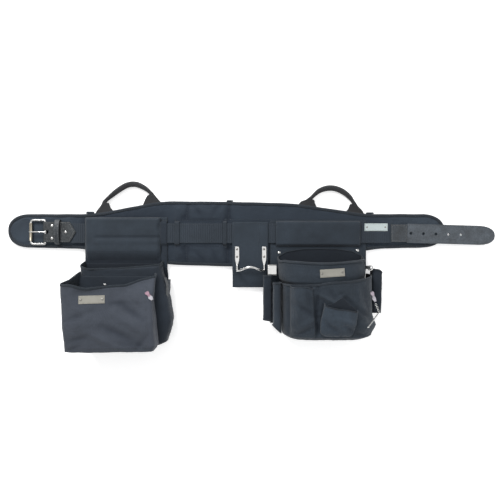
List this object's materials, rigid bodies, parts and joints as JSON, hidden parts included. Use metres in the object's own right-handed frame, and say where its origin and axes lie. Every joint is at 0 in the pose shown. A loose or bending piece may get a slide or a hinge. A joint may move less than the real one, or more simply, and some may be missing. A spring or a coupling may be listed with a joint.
{
  "type": "carpenter's tool belt",
  "caption": "Padded waist tool belt with a roller buckle, a holed leather tongue, folding carry handles, sliding nail and tool pouches, tool sleeves and a sliding steel hammer loop.",
  "frame": {"origin": "centre of the back support on the waist webbing's centre line, in the plane of the lining's outer face, which the belt rests on", "axes": "+X along the belt towards the holed tongue, +Y towards the belt's upper edge as worn, +Z out from the wearer's body"},
  "size_m": [1.2509, 0.4169, 0.1346],
  "materials": {
    "dark_cloth": "matt woven nylon, charcoal with a blue tint",
    "pale_cloth": "matt woven nylon, paler grey",
    "webbing": "ribbed nylon webbing",
    "handle_webbing": "ribbed webbing, folded and stitched",
    "leather": "dark oiled leather, soft sheen",
    "polished_steel": "nickel-plated, polished",
    "roller_metal": "warm brushed nickel",
    "plate_metal": "satin champagne",
    "label": "pale blank woven label",
    "tag": "pale woven tag, blank",
    "foam": "hidden padding"
  },
  "bodies": {
    "belt": {"pad_binding": "webbing", "pad_lining": "dark_cloth", "pad_core": "foam", "pad_front_cover": "dark_cloth", "waist_webbing": "webbing", "belt_loop_left": "webbing", "belt_loop_centre": "webbing", "blank_label": "label", "suspender_tab_left": "webbing", "suspender_tab_centre": "webbing", "suspender_tab_right": "webbing", "buckle_chape": "leather", "chape_rivet_upper": "polished_steel", "chape_rivet_lower": "polished_steel", "chape_tip_rivet": "polished_steel", "tongue_anchor_patch": "leather"},
    "buckle": {"buckle_frame": "polished_steel"},
    "roller": {"buckle_roller": "roller_metal"},
    "prong": {"buckle_prong": "polished_steel"},
    "keeper": {"keeper_loop": "leather"},
    "tongue": {"tongue_strap": "leather"},
    "left_grip": {"left_handle": "handle_webbing"},
    "right_grip": {"right_handle": "handle_webbing"},
    "left_pouch": {"left_back_panel": "dark_cloth", "left_tunnel_panel": "dark_cloth", "left_rear_pouch": "dark_cloth", "left_front_pouch": "pale_cloth", "left_side_pocket": "webbing", "left_name_plate": "plate_metal", "left_plate_rivet_1": "plate_metal", "left_plate_rivet_2": "plate_metal", "left_pouch_rivet": "polished_steel", "left_woven_tag": "tag"},
    "hammer_holder": {"hammer_tunnel": "dark_cloth", "hammer_plate": "dark_cloth", "hammer_loop": "polished_steel", "hammer_rivet_1": "polished_steel", "hammer_rivet_2": "polished_steel", "hammer_rivet_3": "polished_steel", "hammer_rivet_4": "polished_steel"},
    "right_pouch": {"right_back_panel": "dark_cloth", "right_tunnel_panel": "dark_cloth", "right_main_pouch": "dark_cloth", "right_front_pocket": "dark_cloth", "right_pleat_pocket": "dark_cloth", "right_patch_pocket": "dark_cloth", "tool_sleeve_1": "dark_cloth", "tool_sleeve_2": "dark_cloth", "right_side_sleeve": "dark_cloth", "right_name_plate": "plate_metal", "right_plate_rivet_1": "plate_metal", "right_plate_rivet_2": "plate_metal", "right_corner_rivet_1": "polished_steel", "right_corner_rivet_2": "polished_steel", "clip_tab": "webbing", "tape_clip": "polished_steel", "right_woven_tag": "tag", "chain_clip": "polished_steel"},
    "chain": {"tape_chain": "polished_steel"},
    "toggle": {"toggle_bar": "polished_steel"}
  },
  "joints": [
    {"name": "buckle_swing", "type": "hinge", "parent": "belt", "child": "buckle", "pos_m": [-0.472, 0.003, 0.018], "axis": [0, 1, 0], "range_deg": [0, 70]},
    {"name": "roller_spin", "type": "hinge", "parent": "buckle", "child": "roller", "pos_m": [-0.5085, 0.003, 0.018], "axis": [0, 1, 0], "continuous": true},
    {"name": "prong_swing", "type": "hinge", "parent": "buckle", "child": "prong", "pos_m": [-0.472, 0.003, 0.018], "axis": [0, 1, 0], "range_deg": [0, 35]},
    {"name": "keeper_slide", "type": "slide", "parent": "belt", "child": "keeper", "axis": [1, 0, 0], "range_m": [-0.002, 0.01]},
    {"name": "tongue_lift", "type": "hinge", "parent": "belt", "child": "tongue", "pos_m": [0.454, 0, 0.01655], "axis": [0, -1, 0], "range_deg": [0, 60]},
    {"name": "left_handle_fold", "type": "hinge", "parent": "belt", "child": "left_grip", "pos_m": [-0.26365, 0.07013, 0.0074], "axis": [0.9825, 0.1863, 0], "range_deg": [0, 100]},
    {"name": "right_handle_fold", "type": "hinge", "parent": "belt", "child": "right_grip", "pos_m": [0.26252, 0.06674, 0.0074], "axis": [0.9891, -0.1475, 0], "range_deg": [0, 100]},
    {"name": "left_pouch_slide", "type": "slide", "parent": "belt", "child": "left_pouch", "axis": [1, 0, 0], "range_m": [-0.018, 0.016]},
    {"name": "hammer_holder_slide", "type": "slide", "parent": "belt", "child": "hammer_holder", "axis": [1, 0, 0], "range_m": [-0.012, 0.005]},
    {"name": "right_pouch_slide", "type": "slide", "parent": "belt", "child": "right_pouch", "axis": [1, 0, 0], "range_m": [0, 0.02]},
    {"name": "chain_swing", "type": "hinge", "parent": "right_pouch", "child": "chain", "pos_m": [0.3535, -0.1725, 0.0885], "axis": [-0.914, -0.4058, 0], "range_deg": [0, 75]},
    {"name": "toggle_swing", "type": "hinge", "parent": "chain", "child": "toggle", "pos_m": [0.3638, -0.1957, 0.085], "axis": [-0.6603, 0.751, 0], "range_deg": [0, 60]}
  ]
}
